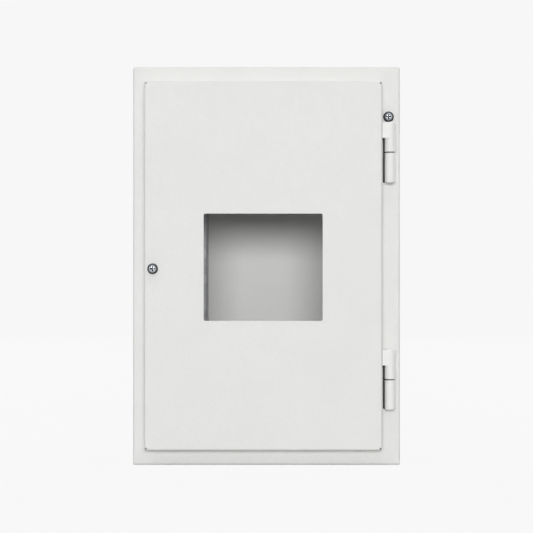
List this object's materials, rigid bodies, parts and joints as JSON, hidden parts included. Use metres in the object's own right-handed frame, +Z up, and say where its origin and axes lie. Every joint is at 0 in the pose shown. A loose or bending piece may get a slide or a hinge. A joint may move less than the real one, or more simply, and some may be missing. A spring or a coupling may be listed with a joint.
{
  "type": "circuit breaker enclosure",
  "caption": "Wall-mounted sheet-steel enclosure for circuit breakers: windowed pan door on lift-off hinges, captive door screw, rails and terminal bars inside.",
  "frame": {"origin": "centre of the footprint at the underside of the base, with the door shut", "axes": "+Z up, -Y out of the door towards whoever faces it, +X towards the hinges, at the right as seen from the front"},
  "size_m": [0.302, 0.1712, 0.45],
  "materials": {
    "powder_coat_grey": "light grey powder coat with a fine orange-peel texture, satin",
    "zinc_plated": "bright zinc plate with a blue cast",
    "galvanised_sheet": "galvanised sheet, dull",
    "bright_steel": "plain bright steel",
    "brass_bar": "drawn brass",
    "blue_plastic": "moulded blue plastic",
    "green_plastic": "moulded green plastic"
  },
  "bodies": {
    "enclosure": {"body_shell": "powder_coat_grey", "din_rail_lower": "galvanised_sheet", "din_rail_upper": "galvanised_sheet", "earth_bar": "brass_bar", "earth_bar_nut_left": "zinc_plated", "earth_bar_nut_right": "zinc_plated", "earth_bar_screw_left": "zinc_plated", "earth_bar_screw_right": "zinc_plated", "earth_insulator_left": "green_plastic", "earth_insulator_right": "green_plastic", "earth_nut": "zinc_plated", "earth_screw": "zinc_plated", "earth_washer": "zinc_plated", "hinge_lower_frame_half": "powder_coat_grey", "hinge_lower_pin": "bright_steel", "hinge_upper_frame_half": "powder_coat_grey", "hinge_upper_pin": "bright_steel", "lock_rivet_nut": "bright_steel", "neutral_bar": "brass_bar", "neutral_bar_nut_left": "zinc_plated", "neutral_bar_nut_right": "zinc_plated", "neutral_bar_screw_left": "zinc_plated", "neutral_bar_screw_right": "zinc_plated", "neutral_insulator_left": "blue_plastic", "neutral_insulator_right": "blue_plastic", "post_left": "galvanised_sheet", "post_nut_lower_left": "zinc_plated", "post_nut_lower_right": "zinc_plated", "post_nut_upper_left": "zinc_plated", "post_nut_upper_right": "zinc_plated", "post_right": "galvanised_sheet", "rail_nut_lower_left": "zinc_plated", "rail_nut_lower_right": "zinc_plated", "rail_nut_upper_left": "zinc_plated", "rail_nut_upper_right": "zinc_plated", "rail_screw_lower_left": "zinc_plated", "rail_screw_lower_right": "zinc_plated", "rail_screw_upper_left": "zinc_plated", "rail_screw_upper_right": "zinc_plated"},
    "door": {"door_panel": "powder_coat_grey", "hinge_upper_door_half": "powder_coat_grey", "hinge_lower_door_half": "powder_coat_grey", "door_earth_washer": "zinc_plated", "door_earth_nut": "zinc_plated"},
    "lock_retainer": {"lock_screw_retainer": "bright_steel"},
    "lock_screw": {"lock_screw": "zinc_plated"}
  },
  "joints": [
    {"name": "door_swing", "type": "hinge", "parent": "enclosure", "child": "door", "pos_m": [0.1392, -0.0724, 0.225], "axis": [0, 0, 1], "range_deg": [0, 165]},
    {"name": "lock_screw_travel", "type": "slide", "parent": "door", "child": "lock_retainer", "axis": [0, -1, 0], "range_m": [0, 0.011]},
    {"name": "lock_screw_turn", "type": "hinge", "parent": "lock_retainer", "child": "lock_screw", "pos_m": [-0.1278, -0.081, 0.2219], "axis": [0, -1, 0], "range_deg": [0, 3960]}
  ],
  "couplings": [
    {"joint": "lock_screw_turn", "follows": "lock_screw_travel", "rad_per_m": 6283.2}
  ]
}
